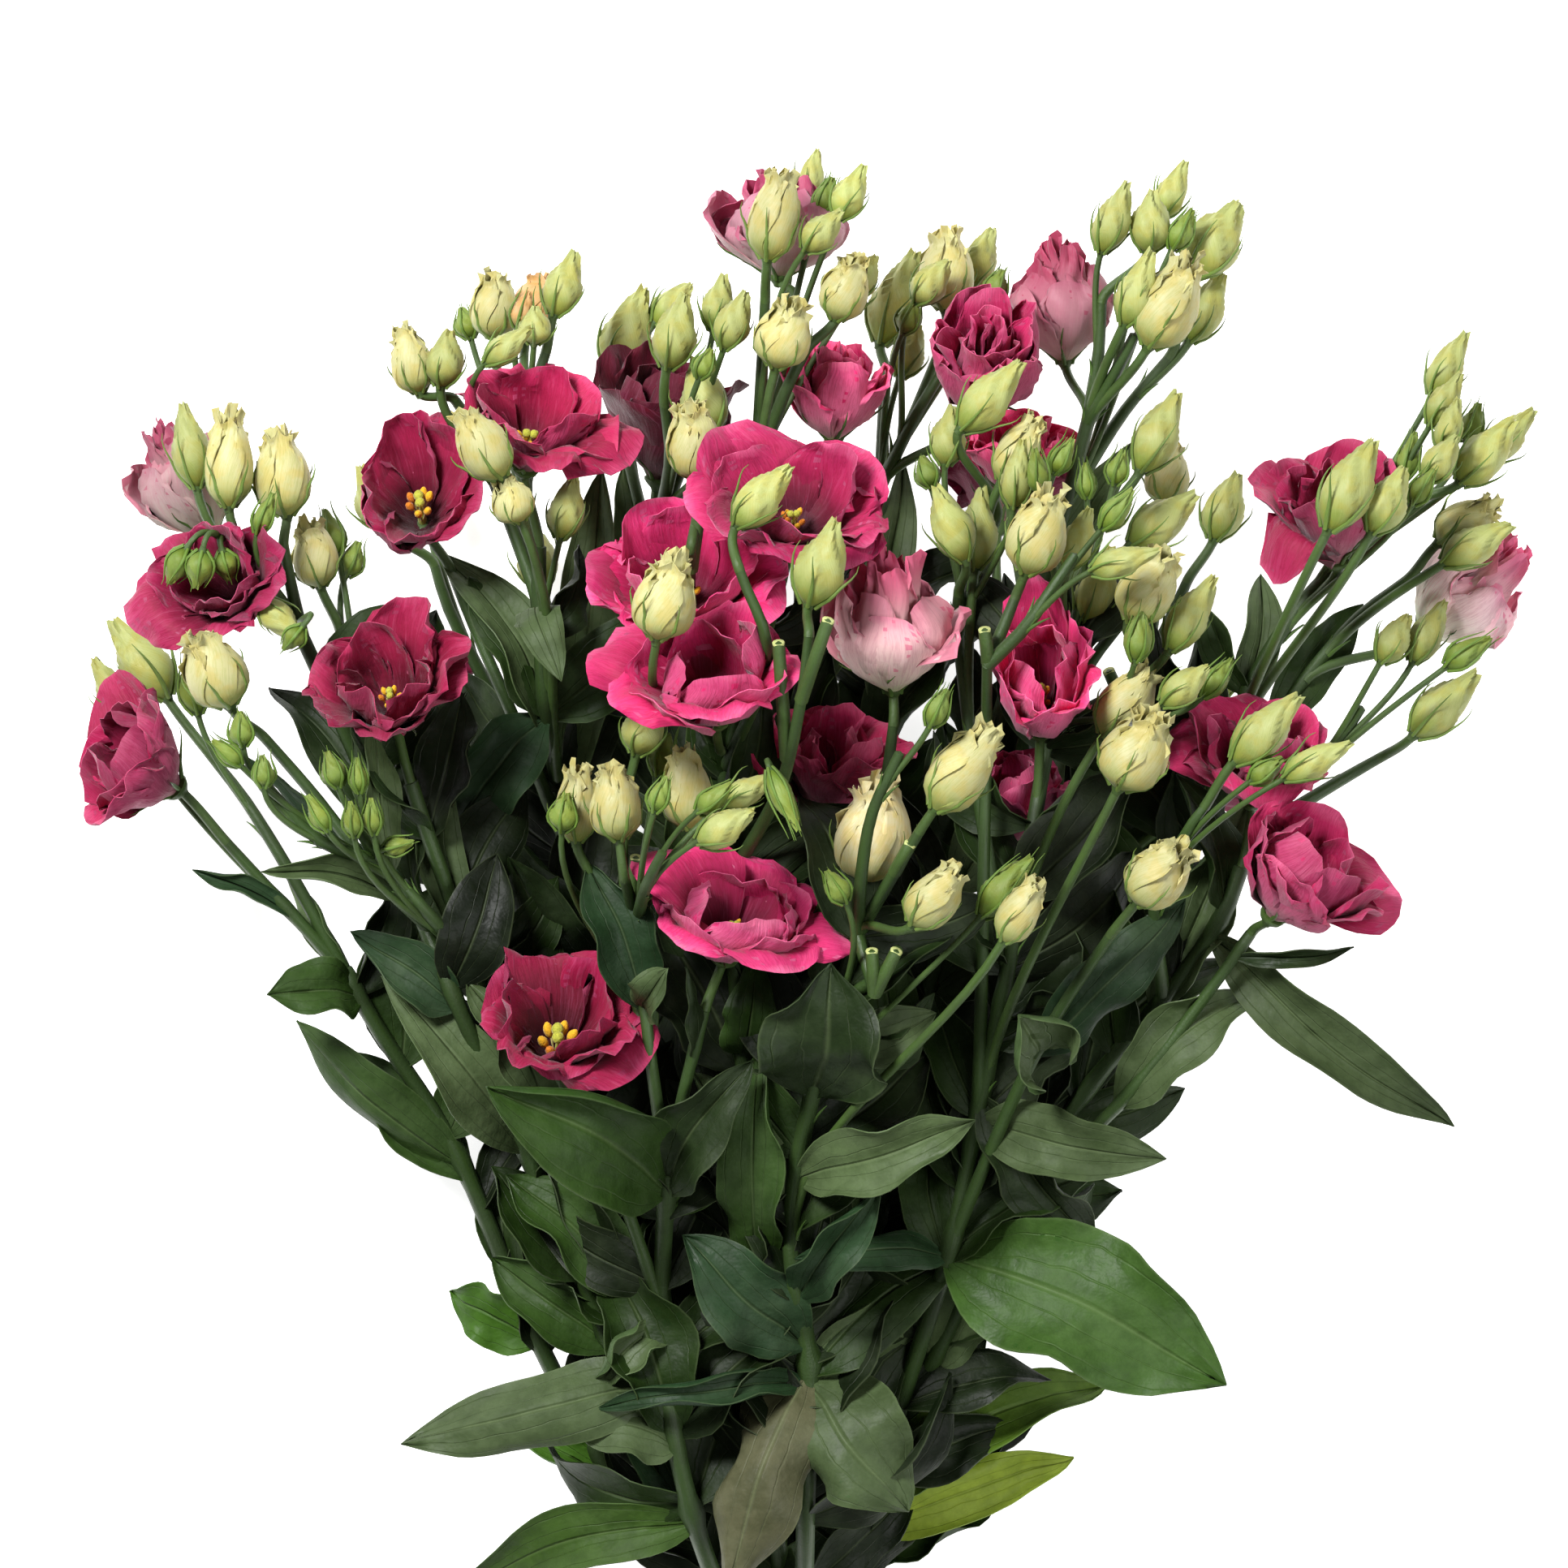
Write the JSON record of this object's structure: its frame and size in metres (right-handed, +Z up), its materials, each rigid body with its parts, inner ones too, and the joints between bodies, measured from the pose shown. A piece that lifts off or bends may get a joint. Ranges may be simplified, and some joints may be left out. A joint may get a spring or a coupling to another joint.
{
  "type": "lisianthus bunch",
  "caption": "Tied bunch of cut lisianthus with ruffled pink blooms, pale buds and grey-green leaves, lying on its back.",
  "frame": {"origin": "on the surface that the bunch lies on, under the middle of the tie", "axes": "+X across the bunch to the right as seen from above, +Y from the cut ends towards the heads, +Z up from the surface"},
  "size_m": [0.5377, 0.7047, 0.2294],
  "materials": {
    "stem": "matte green skin of stems and calyces",
    "leaf": "glaucous grey-green leaf, satin",
    "bud": "pale yellow-green bud, satin",
    "petal": "velvety ruffled petal, slightly translucent",
    "pale_petal": "pale pink petal outside, slightly translucent",
    "stamen": "matte golden anthers and stigma",
    "tie": "plain matte band"
  },
  "bodies": {
    "root": {"stem_01": "stem", "stem_02": "stem", "stem_03": "stem", "stem_04": "stem", "stem_05": "stem", "stem_06": "stem", "stem_07": "stem", "stem_08": "stem", "stem_09": "stem", "stem_10": "stem", "stem_11": "stem", "stem_12": "stem", "stem_13": "stem", "stem_14": "stem", "stem_15": "stem", "stem_16": "stem", "bloom_01": "petal", "bloom_02": "petal", "bloom_03": "pale_petal", "bloom_04": "petal", "bloom_05": "petal", "bloom_06": "petal", "bloom_07": "petal", "bloom_08": "petal", "bloom_09": "petal", "bloom_10": "petal", "bloom_11": "petal", "bloom_12": "pale_petal", "bloom_13": "pale_petal", "bloom_14": "petal", "bloom_15": "pale_petal", "bloom_16": "petal", "bloom_17": "petal", "bloom_18": "petal", "bloom_19": "petal", "bloom_20": "pale_petal", "bloom_21": "petal", "bloom_22": "petal", "bloom_23": "petal", "bloom_24": "petal", "bloom_25": "petal", "bloom_26": "petal", "bloom_27": "petal", "bloom_28": "petal", "bloom_29": "petal", "bloom_04_stamens": "stamen", "bloom_05_stamens": "stamen", "bloom_06_stamens": "stamen", "bloom_08_stamens": "stamen", "bloom_09_stamens": "stamen", "bloom_10_stamens": "stamen", "bloom_17_stamens": "stamen", "bloom_22_stamens": "stamen", "bloom_23_stamens": "stamen", "bloom_24_stamens": "stamen", "tie": "tie"}
  },
  "joints": []
}
